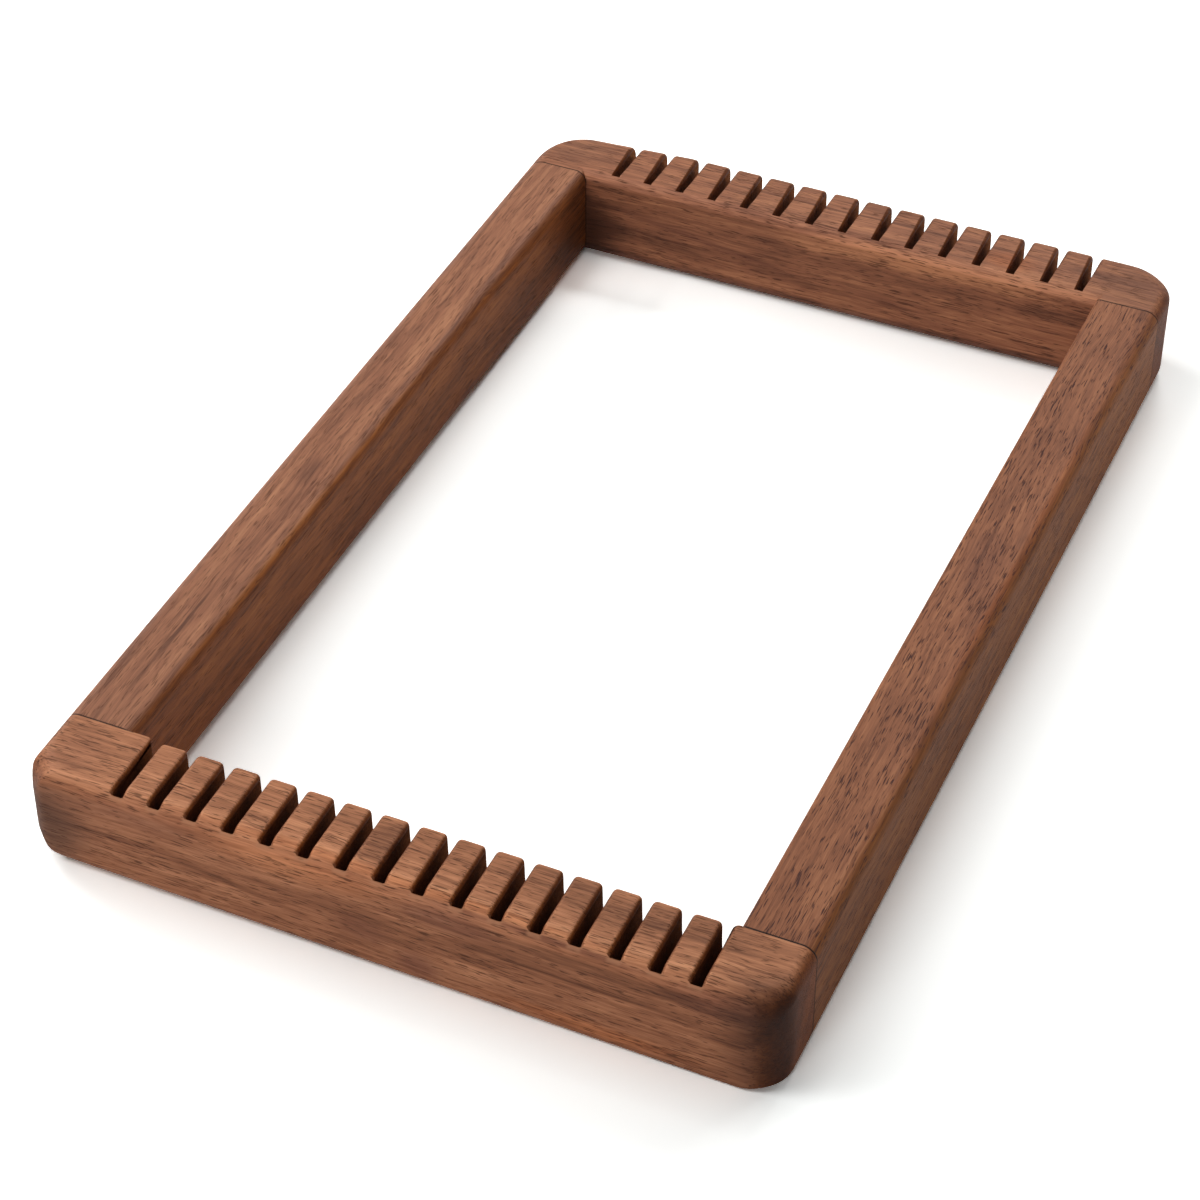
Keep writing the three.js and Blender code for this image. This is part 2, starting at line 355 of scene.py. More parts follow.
@dataclass(frozen=True)
class Wire:
    """A node's output, on which Python's arithmetic adds Math nodes."""

    board: "Board"
    socket: bpy.types.NodeSocket

    def __add__(self, other: "Wire | float") -> "Wire":
        """Adds."""
        return self.board.math("ADD", self, other)

    __radd__ = __add__

    def __sub__(self, other: "Wire | float") -> "Wire":
        """Takes away."""
        return self.board.math("SUBTRACT", self, other)

    def __rsub__(self, other: "Wire | float") -> "Wire":
        """Takes this from a number."""
        return self.board.math("SUBTRACT", other, self)

    def __mul__(self, other: "Wire | float") -> "Wire":
        """Multiplies."""
        return self.board.math("MULTIPLY", self, other)

    __rmul__ = __mul__

    def __truediv__(self, other: "Wire | float") -> "Wire":
        """Divides."""
        return self.board.math("DIVIDE", self, other)

    def __rtruediv__(self, other: "Wire | float") -> "Wire":
        """Divides a number by this."""
        return self.board.math("DIVIDE", other, self)

    def __abs__(self) -> "Wire":
        """Drops the sign."""
        return self.board.math("ABSOLUTE", self)

    def at_least(self, other: "Wire | float") -> "Wire":
        """Gives the larger of the two."""
        return self.board.math("MAXIMUM", self, other)

    def at_most(self, other: "Wire | float") -> "Wire":
        """Gives the smaller of the two."""
        return self.board.math("MINIMUM", self, other)

    def step(self, low: float, high: float) -> "Wire":
        """Gives a smooth rise from 0 to 1.

        Args:
            low: Where it is 0. It may be the larger one, for a fall from 1 to 0.
            high: Where it is 1.

        Returns:
            The share from 0 to 1.
        """
        settings = {"interpolation_type": "SMOOTHSTEP", "clamp": True}
        if low < high:
            return self.board.add("ShaderNodeMapRange", settings, {0: self, 1: low, 2: high, 3: 0.0, 4: 1.0})
        return self.board.add("ShaderNodeMapRange", settings, {0: self, 1: high, 2: low, 3: 1.0, 4: 0.0})


class Board:
    """The nodes of a material or of the world."""

    def __init__(self, owner: bpy.types.Material | bpy.types.World) -> None:
        """Clears the owner's nodes.

        Args:
            owner: What the nodes belong to.
        """
        owner.use_nodes = True
        self.owner = owner
        self.nodes = owner.node_tree.nodes
        self.links = owner.node_tree.links
        self.nodes.clear()

    def add(
        self,
        kind: str,
        settings: dict[str, object] | None = None,
        sockets: dict[str | int, object] | None = None,
        output: str | int = 0,
    ) -> Wire:
        """Adds a node.

        Args:
            kind: The node's type.
            settings: Its settings, which are set first. A ramp's stops are pairs of place and colour.
            sockets: The value or the wire for each input, by name or number.
            output: The output that is wanted, by name or number.

        Returns:
            That output, or the node's first socket where it has no output.
        """
        node = self.nodes.new(kind)
        for name, value in (settings or {}).items():
            if name == "stops":
                self._set_stops(node.color_ramp, value)
            else:
                setattr(node, name, value)
        for key, value in (sockets or {}).items():
            if isinstance(value, Wire):
                self.links.new(value.socket, node.inputs[key])
            else:
                node.inputs[key].default_value = value
        return Wire(self, node.outputs[output] if node.outputs else node.inputs[0])

    @staticmethod
    def _set_stops(ramp: bpy.types.ColorRamp, stops: list[tuple[float, Point]]) -> None:
        """Gives a colour ramp its stops.

        Args:
            ramp: The ramp.
            stops: The place and the colour of each stop.
        """
        while len(ramp.elements) < len(stops):
            ramp.elements.new(1.0)
        for element, (place, colour) in zip(ramp.elements, stops):
            element.position = place
            element.color = (*colour, 1.0)

    def math(self, operation: str, *values: Wire | float) -> Wire:
        """Adds a Math node on up to three values."""
        return self.add("ShaderNodeMath", {"operation": operation}, dict(enumerate(values)))

    def vector(self, operation: str, *values: Wire | Point, output: str | int = 0) -> Wire:
        """Adds a Vector Math node on up to three vectors."""
        return self.add("ShaderNodeVectorMath", {"operation": operation}, dict(enumerate(values)), output)

    def mix(
        self, share: Wire | float, first: Wire | Point, second: Wire | Point, blend: str = "MIX"
    ) -> Wire:
        """Mixes two colours.

        Args:
            share: How much of the second colour there is, from 0 to 1.
            first: The first colour.
            second: The second colour.
            blend: The Mix node's blend type.

        Returns:
            The mixed colour.
        """
        first, second = (c if isinstance(c, Wire) else (*c, 1.0) for c in (first, second))
        settings = {"data_type": "RGBA", "blend_type": blend, "clamp_factor": True}
        return self.add("ShaderNodeMix", settings, {0: share, 6: first, 7: second}, 2)

    def noise(self, place: Wire, detail: float = 2.0, roughness: float = 0.5, output: str = "Fac") -> Wire:
        """Adds soft noise about one unit across, read at a place."""
        sockets = {"Vector": place, "Scale": 1.0, "Detail": detail, "Roughness": roughness}
        return self.add("ShaderNodeTexNoise", {"noise_dimensions": "3D"}, sockets, output)

    def noise_along(self, place: Wire, detail: float = 2.0, roughness: float = 0.5) -> Wire:
        """Adds noise that changes with one number only."""
        sockets = {"W": place, "Scale": 1.0, "Detail": detail, "Roughness": roughness}
        return self.add("ShaderNodeTexNoise", {"noise_dimensions": "1D"}, sockets)

    def spread(self, place: Wire, along: float, across: float, seed: float) -> Wire:
        """Stretches a place for noise that is longer along the grain than across it.

        Args:
            place: The place along, across and up, in millimetres.
            along: The noise's size along the grain.
            across: Its size across the grain.
            seed: A shift that makes this noise unlike the others.

        Returns:
            The place for the noise.
        """
        scale = (1 / along, 1 / across, 1 / across)
        return self.vector("MULTIPLY_ADD", place, scale, (seed, seed * 1.7, seed * 0.6))


class Grain(Enum):
    """Which way a piece's grain runs."""

    ALONG_X = "x"
    ALONG_Y = "y"


class Tint(Enum):
    """What a patch does to the wood's colour."""

    DARK = "dark"
    PALE = "pale"
    ORANGE = "orange"
    PURPLE = "purple"
    SMOKE = "smoke"
    ASH = "ash"


CASTS = {
    Tint.ORANGE: (1.25, 0.98, 0.68),
    Tint.PURPLE: (0.58, 0.54, 0.62),
    Tint.SMOKE: (0.36, 0.33, 0.34),
    Tint.ASH: (0.50, 0.62, 0.74),
}


@dataclass(frozen=True)
class Patch:
    """A soft-edged patch of colour in the wood, an ellipsoid along, across and up: mostly figure, and along
    some rounds painted light and shade.
    """

    tint: Tint
    middle: Point
    reach: Point
    strength: float
    lean: float = 0.0
    tip: float = 0.0


@dataclass(frozen=True)
class Kerfs:
    """Where a rail's notches are sawn, for their rough walls, the painted shading on those walls and the
    painted highlights on the rims at their closed ends.
    """

    row: "NotchRow"
    closed: float
    # The strength of the painted highlight on the rims at the closed ends.
    rim: float = 0.0
    # Painted shading multiplied onto the sawn walls inside the notches.
    wall_painted_shading: Point = (1.0, 1.0, 1.0)
    rim_reach: tuple[float, float] = (2.4, 1.2)
    rim_length: tuple[float, float] = (1.3, 0.5)
    rim_heights: tuple[float, float] = (26.5, 28.5)
    wall_reach: tuple[float, float] = (1.45, 1.35)
    wall_start: tuple[float, float] = (-0.3, 0.1)
    wall_top: tuple[float, float] = (29.2, 28.4)
    wall_foot: tuple[float, float] = (17.7, 17.95)


@dataclass(frozen=True)
class Walnut:
    """Oiled walnut with its own figure on each rail."""

    name: str
    grain: Grain
    seed: float
    joint: float = 137.0
    opening: float = 81.0
    pith: tuple[float, float] = (60.0, -90.0)
    dark: Point = (0.120, 0.044, 0.022)
    middle: Point = (0.290, 0.115, 0.058)
    light: Point = (0.470, 0.210, 0.110)
    pore: Point = (0.050, 0.020, 0.012)
    band_width: float = 5.5
    sway: float = 5.0
    patches: tuple[Patch, ...] = ()
    kerfs: Kerfs | None = None
    pore_share: float = 0.7
    streak_cast: Point = (0.50, 0.44, 0.44)
    seam_share: float = 0.85
    seam_tint: Point = (0.018, 0.009, 0.006)
    seam_edges: tuple[float, float] = (0.40, 0.12)
    satin: float = 0.47
    shine: float = 0.14
    relief: float = 0.00012
    # These casts paint light and shade by the way a surface faces (tops, other faces, faces to the right,
    # rounds to the front and rounds underneath), apart from end_cast, which is the end grain's own darker
    # tone.
    top_painted_lighting: Point = (1.0, 1.0, 1.0)
    other_faces_painted_lighting: Point = (1.0, 1.0, 1.0)
    right_painted_shade: Point = (0.71, 0.555, 0.31)
    front_painted_lighting: Point = (1.08, 1.06, 1.06)
    end_cast: Point = (0.55, 0.48, 0.42)
    under_painted_shade: Point = (1.0, 1.0, 1.0)

    def material(self) -> bpy.types.Material:
        """Builds the finish.

        Returns:
            The material.
        """
        board = Board(bpy.data.materials.new(self.name))
        place = self._grain_place(board)
        wavy = self._wavy(board, place)
        normal = board.add("ShaderNodeTexCoord", output="Normal")
        rim, sawn = self._kerf_masks(board, place) if self.kerfs else (0.0, 0.0)
        tone, streaks, pores, fibre = self._figure(board, wavy)
        for patch in self.patches:
            if patch.tint not in CASTS:
                lift = patch.strength if patch.tint is Tint.PALE else -patch.strength
                tone = tone + self._mask(board, wavy, patch) * lift
        colour = board.add("ShaderNodeValToRGB", {
            "stops": [(0.1, self.dark), (0.5, self.middle), (0.9, self.light)],
        }, {0: tone})
        colour = self._tinted(board, wavy, colour)
        colour = board.mix(streaks * 0.5, colour, self.streak_cast, "MULTIPLY")
        # Painted light and shade by the way each surface faces, and the end grain's own darker tone.
        colour = self._painted_facing_light_and_end_grain(board, normal, colour, 1 - sawn)
        colour = board.mix(pores * self.pore_share, colour, self.pore)
        roughness = self.satin + pores * 0.2 + fibre * 0.1
        if self.kerfs:
            # Painted highlight on the rims at the notches' closed ends.
            colour = board.mix(rim * self.kerfs.rim, colour, self.light)
            # Painted shading on the sawn notch walls: darker in the near notches, lighter in the far ones.
            colour = board.mix(sawn, colour, self.kerfs.wall_painted_shading, "MULTIPLY")
            roughness = roughness.at_least(sawn)
        colour = board.mix(self._seam(board, place) * self.seam_share, colour, self.seam_tint)
        height = fibre * 0.3 - pores - streaks * 0.3
        bump = board.add("ShaderNodeBump", {}, {
            "Strength": 0.5, "Distance": self.relief, "Height": height,
        })
        shader = board.add("ShaderNodeBsdfPrincipled", {}, {
            "Base Color": colour,
            "Roughness": roughness,
            "Normal": bump,
            "Specular IOR Level": self.shine,
        })
        board.add("ShaderNodeOutputMaterial", {}, {"Surface": shader})
        return board.owner

    def _grain_place(self, board: Board) -> Wire:
        """Gives the place in the wood.

        Args:
            board: The material's nodes.

        Returns:
            The place along, across and up the grain, in millimetres.
        """
        spot = board.vector("SCALE", board.add("ShaderNodeTexCoord", output="Object"))
        spot.socket.node.inputs["Scale"].default_value = 1 / MILLIMETRE
        if self.grain is Grain.ALONG_X:
            return spot
        x, y, z = (board.add("ShaderNodeSeparateXYZ", {}, {0: spot}, axis) for axis in "XYZ")
        return board.add("ShaderNodeCombineXYZ", {}, {0: y, 1: x, 2: z})

    def _wavy(self, board: Board, place: Wire) -> Wire:
        """Bends the grain in slow waves and small ripples.

        Args:
            board: The material's nodes.
            place: The place in the straight wood.

        Returns:
            The place in the bent wood.
        """
        slow = board.noise(board.spread(place, 85.0, 30.0, self.seed), 1.0, output="Color")
        quick = board.noise(board.spread(place, 17.0, 7.0, self.seed + 3.0), 1.0, output="Color")
        half = -self.sway / 2
        bend = board.vector("MULTIPLY_ADD", slow, (0.0, self.sway, self.sway), (0.0, half, half))
        ripple = board.vector("MULTIPLY_ADD", quick, (0.0, 1.1, 1.1), (0.0, -0.55, -0.55))
        return board.vector("ADD", board.vector("ADD", place, bend), ripple)

    def _figure(self, board: Board, wavy: Wire) -> tuple[Wire, Wire, Wire, Wire]:
        """Makes the figure of the wood.

        Args:
            board: The material's nodes.
            wavy: The place in the bent wood.

        Returns:
            The tone from dark to light, the dark streaks, the pores and the fibre.
        """
        seed = self.seed
        from_pith = board.vector("SUBTRACT", wavy, (0.0, *self.pith))
        radius = board.vector("LENGTH", board.vector("MULTIPLY", from_pith, (0.0, 1.0, 1.0)), output="Value")
        band = board.noise_along(radius / self.band_width + seed, 2.0, 0.6)
        line = board.noise_along(radius / 1.1 + seed * 2, 1.0)
        fibre = board.noise(board.spread(wavy, 10.0, 0.34, seed + 5.0), 2.0, 0.6)
        stripe = board.noise(board.spread(wavy, 22.0, 1.0, seed + 9.0), 2.0, 0.6)
        cloud = board.noise(board.spread(wavy, 32.0, 9.0, seed + 13.0), 2.0)
        tone = (
            0.5
            + (band - 0.5) * 0.55
            + (line - 0.5) * 0.18
            + (fibre - 0.5) * 0.55
            + (stripe - 0.5) * 0.75
            + (cloud - 0.5) * 0.5
        )
        crowd = board.noise(board.spread(wavy, 24.0, 4.0, seed + 21.0), 1.0)
        long_marks = board.noise(board.spread(wavy, 12.0, 0.62, seed + 17.0), 2.0, 0.5)
        streaks = (long_marks + (0.5 - crowd) * 0.3).step(0.55, 0.68)
        dashes = board.noise(board.spread(wavy, 4.2, 0.34, seed + 25.0), 1.0, 0.4)
        pores = (dashes + (0.5 - crowd) * 0.25).step(0.58, 0.70)
        return tone, streaks, pores, fibre

    def _mask(self, board: Board, wavy: Wire, patch: Patch) -> Wire:
        """Gives a patch's share.

        Args:
            board: The material's nodes.
            wavy: The place in the bent wood.
            patch: The patch.

        Returns:
            1 in the middle of the patch and 0 outside it.
        """
        rotation = (0.0, math.radians(patch.tip), math.radians(patch.lean))
        inside = board.add("ShaderNodeMapping", {"vector_type": "TEXTURE"}, {
            "Vector": wavy, "Location": patch.middle, "Rotation": rotation, "Scale": patch.reach,
        })
        return board.vector("LENGTH", inside, output="Value").step(1.0, 0.25)

    def _tinted(self, board: Board, wavy: Wire, colour: Wire) -> Wire:
        """Multiplies the colour in the patches that have a cast.

        Args:
            board: The material's nodes.
            wavy: The place in the bent wood.
            colour: The wood's colour.

        Returns:
            The colour with the casts on it.
        """
        for patch in self.patches:
            if patch.tint in CASTS:
                share = self._mask(board, wavy, patch) * patch.strength
                colour = board.mix(share, colour, CASTS[patch.tint], "MULTIPLY")
        return colour

    def _painted_facing_light_and_end_grain(self, board: Board, normal: Wire, colour: Wire, planed: Wire | float) -> Wire:
        """Paints light and shade into the colour by the way each surface faces, and darkens the end grain,
        which is darker in itself.

        Args:
            board: The material's nodes.
            normal: The way the surface faces.
            colour: The wood's colour.
            planed: 1 on planed wood and 0 on the notches' sawn walls.

        Returns:
            The tinted colour.
        """
        x, y, z = (board.add("ShaderNodeSeparateXYZ", {}, {0: normal}, axis) for axis in "XYZ")
        # Painted light and shade: one colour multiplied onto faces that look up, another onto all other
        # faces.
        cast = board.mix(z.step(0.5, 0.95), self.other_faces_painted_lighting, self.top_painted_lighting)
        colour = board.mix(1.0, colour, cast, "MULTIPLY")
        # Painted shade on the rounds that face down under the rails.
        under = (y * z).step(0.02, 0.2) * z.step(0.0, -0.1)
        colour = board.mix(under, colour, self.under_painted_shade, "MULTIPLY")
        # Painted shade on faces and rounds that turn to +X, away from the light, apart from the sawn walls.
        to_right = (x - abs(z) * 0.3).step(0.12, 0.65) * planed
        colour = board.mix(to_right, colour, self.right_painted_shade, "MULTIPLY")
        # Painted light on the rounds that face the front (-Y) and up.
        colour = board.mix((y * z).step(-0.08, -0.36), colour, self.front_painted_lighting, "MULTIPLY")
        # The end grain's own darker tone.
        along = x if self.grain is Grain.ALONG_X else y
        return board.mix(abs(along).step(0.35, 0.9), colour, self.end_cast, "MULTIPLY")

    def _seam(self, board: Board, place: Wire) -> Wire:
        """Finds the thin dark lines where the rails meet.

        Args:
            board: The material's nodes.
            place: The place along, across and up, in millimetres.

        Returns:
            1 on the lines.
        """
        wide, narrow = self.seam_edges
        along, across = (board.add("ShaderNodeSeparateXYZ", {}, {0: place}, axis) for axis in "XY")
        if self.grain is Grain.ALONG_Y:
            return abs(along).step(self.joint - wide, self.joint - narrow)
        near = abs(abs(across) - self.joint).step(wide, narrow)
        return near * abs(along).step(self.opening - 0.3, self.opening + 0.1)

    def _kerf_masks(self, board: Board, place: Wire) -> tuple[Wire, Wire]:
        """Finds the notches' rims and walls.

        Args:
            board: The material's nodes.
            place: The place along, across and up, in millimetres.

        Returns:
            1 on the rims at the closed ends, where a highlight is painted, and 1 on the sawn walls.
        """
        kerfs, row = self.kerfs, self.kerfs.row
        along, across, up = (board.add("ShaderNodeSeparateXYZ", {}, {0: place}, axis) for axis in "XYZ")
        turns = ((along - row.first) / row.pitch).at_least(0.0).at_most(row.count - 1.0)
        beside = abs(along - board.math("ROUND", turns) * row.pitch - row.first)
        inwards = across - kerfs.closed
        rim = beside.step(*kerfs.rim_reach) * abs(inwards).step(*kerfs.rim_length)
        sawn = beside.step(*kerfs.wall_reach) * inwards.step(*kerfs.wall_start)
        sawn = sawn * up.step(*kerfs.wall_top) * up.step(*kerfs.wall_foot)
        return rim * up.step(*kerfs.rim_heights), sawn


@dataclass(frozen=True)
class Beech:
    """Plain pale beech with its short dark flecks, for the dowels."""

    name: str = "dowel_beech"
    pale: Point = (0.62, 0.42, 0.25)
    brown: Point = (0.44, 0.26, 0.13)

    def material(self) -> bpy.types.Material:
        """Builds the finish.

        Returns:
            The material.
        """
        board = Board(bpy.data.materials.new(self.name))
        spot = board.vector("SCALE", board.add("ShaderNodeTexCoord", output="Object"))
        spot.socket.node.inputs["Scale"].default_value = 1 / MILLIMETRE
        fibre = board.noise(board.vector("MULTIPLY", spot, (2.0, 0.08, 2.0)), 3.0)
        fleck = board.noise(board.vector("MULTIPLY", spot, (2.6, 0.6, 2.6)), 1.0).step(0.62, 0.7)
        colour = board.mix(fibre.step(0.3, 0.7), self.brown, self.pale)
        colour = board.mix(fleck * 0.6, colour, self.brown)
        bump = board.add("ShaderNodeBump", {}, {
            "Strength": 0.3, "Distance": 0.0001, "Height": fibre - fleck,
        })
        shader = board.add("ShaderNodeBsdfPrincipled", {}, {
            "Base Color": colour,
            "Roughness": 0.6 + fleck * 0.2,
            "Normal": bump,
        })
        board.add("ShaderNodeOutputMaterial", {}, {"Surface": shader})
        return board.owner


def between(first: float, second: float, share: float) -> float:
    """Gives the number that lies at a share of the way from the first to the second."""
    return first + (second - first) * share


@dataclass(frozen=True)
class Edges:
    """The rounds above or below a corner: its radius seen from above, the height that its round
    takes up in its middle, and the rounds of the side's and the end's edges where they meet it."""

    radius: float
    rise: float
    side: float
    end: float


@dataclass(frozen=True)
class Corner:
    """A corner of the blank, shaped by hand."""

    side: int
    end: int
    radius: float
    top: Edges
    bottom: Edges

    def place(self, share: float, inset: float, edges: Edges, half: Vector) -> Point:
        """Gives a place on the corner's rounds.

        Args:
            share: The place round the corner, from the side face at 0 to the end face at 1.
            inset: The place on the round, from the upright face at 0 to the flat face at 1.
            edges: The rounds above or below.
            half: The square corner of the block, on the positive side.

        Returns:
            The place along X and Y, and the height that the whole round takes up there.
        """
        angle = share * QUARTER_TURN
        radius = between(self.radius, edges.radius, inset)
        edge_rise = between(edges.side, edges.end, share)
        rise = between(edge_rise, max(edges.rise, edge_rise), math.sin(math.pi * share) ** 2)
        x = half.x - edges.side * inset - radius + radius * math.cos(angle)
        y = half.y - edges.end * inset - radius + radius * math.sin(angle)
        return self.side * x, self.end * y, rise


@dataclass(frozen=True)
class Blank:
    """The rounded slab that all four rails are sawn from, so that their faces run on flush."""

    low: Vector
    high: Vector
    corners: tuple[Corner, ...] = (
        Corner(-1, -1, 5.5, Edges(8.0, 9.5, 3.5, 5.0), Edges(14.0, 9.5, 3.5, 4.5)),
        Corner(1, -1, 10.0, Edges(8.0, 6.5, 4.0, 5.0), Edges(11.0, 2.0, 2.0, 1.0)),
        Corner(1, 1, 12.0, Edges(14.0, 4.0, 4.0, 2.5), Edges(8.5, 3.5, 3.5, 3.5)),
        Corner(-1, 1, 18.0, Edges(8.0, 6.5, 5.0, 6.0), Edges(14.5, 3.5, 3.5, 3.5)),
    )
    corner_segments: int = 16
    first_round: float = 3.5
    round_segments: int = 10
    taper: float = -55.0
    back_top: float = 2.5
    back_bottom: float = 3.5

    def build(self) -> Workpiece:
        """Rounds a block's corners and outer edges evenly, then shapes them by hand.

        Returns:
            The blank.
        """
        blank = Workpiece.block("blank", self.low, self.high)
        for corner in self.corners:
            blank.bevel(self._upright_at(corner), corner.radius, self.corner_segments)
        for level in (self.high.z, self.low.z):
            blank.bevel(self._rim_at(level), self.first_round, self.round_segments)
        self._score_back(blank)
        blank.reshape(self._hand_shaped)
        return blank

    def _upright_at(self, corner: Corner) -> EdgeTest:
        """Tells the upright edge at a corner of the square block.

        Args:
            corner: The corner.

        Returns:
            The test.
        """
        x = self.high.x if corner.side > 0 else self.low.x
        y = self.high.y if corner.end > 0 else self.low.y
        return lambda a, b: abs(a.z - b.z) > TOUCH and all(
            math.hypot(p.x - x, p.y - y) < TOUCH for p in (a, b)
        )

    @staticmethod
    def _rim_at(level: float) -> EdgeTest:
        """Tells the edges that lie at one height."""
        return lambda a, b: abs(a.z - level) < TOUCH and abs(b.z - level) < TOUCH

    def _score_back(self, blank: Workpiece) -> None:
        """Adds points across the back face and its rounds, where the top round starts to widen.

        Args:
            blank: The evenly rounded blank.
        """
        nearest = self.high.y - self.first_round
        with blank.edited("FACE"):
            blank.pick_faces(lambda middle, normal: middle.y > nearest and normal.y > TOUCH)
            bpy.ops.mesh.bisect(plane_co=(self.taper * MILLIMETRE, 0, 0), plane_no=(1, 0, 0))

    def _hand_shaped(self, spot: Vector) -> Vector:
        """Shapes one point of the evenly rounded block.

        Args:
            spot: The point's place on the block.

        Returns:
            Its place on the shaped blank.
        """
        above = spot.z > (self.low.z + self.high.z) / 2
        level, inward = (self.high.z, -1) if above else (self.low.z, 1)
        left = abs(spot.z - level) / self.first_round
        if abs(spot.x - self.taper) < TOUCH:
            rise = self.back_top if above else self.back_bottom
            inset = (self.high.y - spot.y) / self.first_round
            return Vector((spot.x, self.high.y - rise * inset, level + inward * rise * left))
        corner = next(c for c in self.corners if c.side * spot.x > 0 and c.end * spot.y > 0)
        out_x = abs(spot.x) - self.high.x + corner.radius
        out_y = abs(spot.y) - self.high.y + corner.radius
        inset = (corner.radius - math.hypot(out_x, out_y)) / self.first_round
        share = math.atan2(out_y, out_x) / QUARTER_TURN
        edges = corner.top if above else corner.bottom
        x, y, rise = corner.place(share, inset, edges, self.high)
        return Vector((x, y, level + inward * rise * left))


@dataclass(frozen=True)
class NotchRow:
    """A row of equal notches, blind at their -Y end and open through the rail's +Y face."""

    count: int
    pitch: float
    shift: float
    end_wall: float
    width: float = 2.6
    depth: float = 12.0
    ease: float = 1.4
    ease_segments: int = 5
    overcut: float = 2.0

    @property
    def first(self) -> float:
        """The middle of the first notch, along X."""
        return self.shift - (self.count - 1) / 2 * self.pitch

    def cutter(self, low: Vector, high: Vector) -> Workpiece:
        """Makes the shape that cuts the whole row.

        Args:
            low: The rail's lowest corner.
            high: The rail's highest corner.

        Returns:
            The cutter.
        """
        half = self.width / 2
        kerf = Workpiece.block(
            "kerf",
            (self.first - half, low.y + self.end_wall, high.z - self.depth),
            (self.first + half, high.y + self.overcut, high.z + self.overcut),
        )
        kerf.repeat(self.count, self.pitch)
        return kerf

    def is_tooth_end(self, a: Vector, b: Vector) -> bool:
        """Tells an edge that runs along X from one notch to the next."""
        last = self.first + (self.count - 1) * self.pitch
        return abs(a.x - b.x) > self.width and all(self.first < p.x < last for p in (a, b))

    def is_rim(self, a: Vector, b: Vector, low: Vector, high: Vector) -> bool:
        """Tells an edge of a notch's wall, apart from those at its floor and its blind end.

        Args:
            a: One end of the edge.
            b: Its other end.
            low: The rail's lowest corner.
            high: The rail's highest corner.

        Returns:
            Whether it is on a rim.
        """
        floor, closed = high.z - self.depth, low.y + self.end_wall
        if abs(a.x - b.x) > TOUCH or not self.on_walls(a, b):
            return False
        return max(a.z, b.z) > floor + TOUCH and max(a.y, b.y) > closed + TOUCH

    def is_floor(self, a: Vector, b: Vector, top: float) -> bool:
        """Tells an edge at the height of the notches' floors."""
        return max(abs(p.z - top + self.depth) for p in (a, b)) < TOUCH

    def on_walls(self, a: Vector, b: Vector) -> bool:
        """Tells whether both ends of an edge are on the notches' walls."""
        return all(self._is_on_wall(p.x) for p in (a, b))

    def _is_on_wall(self, x: float) -> bool:
        """Tells whether a place along X is on a notch's wall."""
        turn = min(max(round((x - self.first) / self.pitch), 0), self.count - 1)
        return abs(abs(x - self.first - turn * self.pitch) - self.width / 2) < TOUCH


@dataclass(frozen=True)
class Joinery:
    """What the joints need: fine arrises at the meeting edges and blind holes for the dowels."""

    arris: float = 0.18
    clearance: float = 0.3
    end_gap: float = 0.5
    hole_sides: int = 48

    def drill(self, rail: Workpiece, rail_box: tuple[Vector, Vector]) -> None:
        """Drills the hole of each dowel that reaches into a rail.

        Args:
            rail: The rail.
            rail_box: Its box.
        """
        low, high = rail_box
        for name in frame["nodes"]:
            if not name.endswith("_dowel"):
                continue
            start, end = millimetre_box(name)
            if end.x < low.x or start.x > high.x or end.y < low.y or start.y > high.y:
                continue
            middle = (start + end) / 2
            bit = Workpiece.rod(
                "bit",
                (middle.x, start.y - self.end_gap, middle.z),
                (middle.x, end.y + self.end_gap, middle.z),
                (end.x - start.x) / 2 + self.clearance,
                self.hole_sides,
            )
            rail.cut(bit)


@dataclass
class Rail:
    """What the four rails share."""

    node: str
    finish: Walnut
    slot: str
    joinery: Joinery = Joinery()
    inner_top: float = 1.5
    inner_bottom: float = 5.0
    round_segments: int = 10

    @property
    def box(self) -> tuple[Vector, Vector]:
        """The rail's box from its CAD node, in millimetres."""
        return millimetre_box(self.node)

    def dress(self, piece: Workpiece) -> None:
        """Gives the finished piece its finish and puts it in the CAD node's place.

        Args:
            piece: The shaped rail.
        """
        piece.smooth()
        piece.body.name = f"walnut_{self.node}"
        piece.body.data.materials.clear()
        piece.body.data.materials.append(self.finish.material())
        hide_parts(self.node)
        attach(piece.body, BODY)
        faces = len(piece.body.data.polygons)
        log.info("%s: %d faces, finish %s", piece.body.name, faces, self.finish.name)


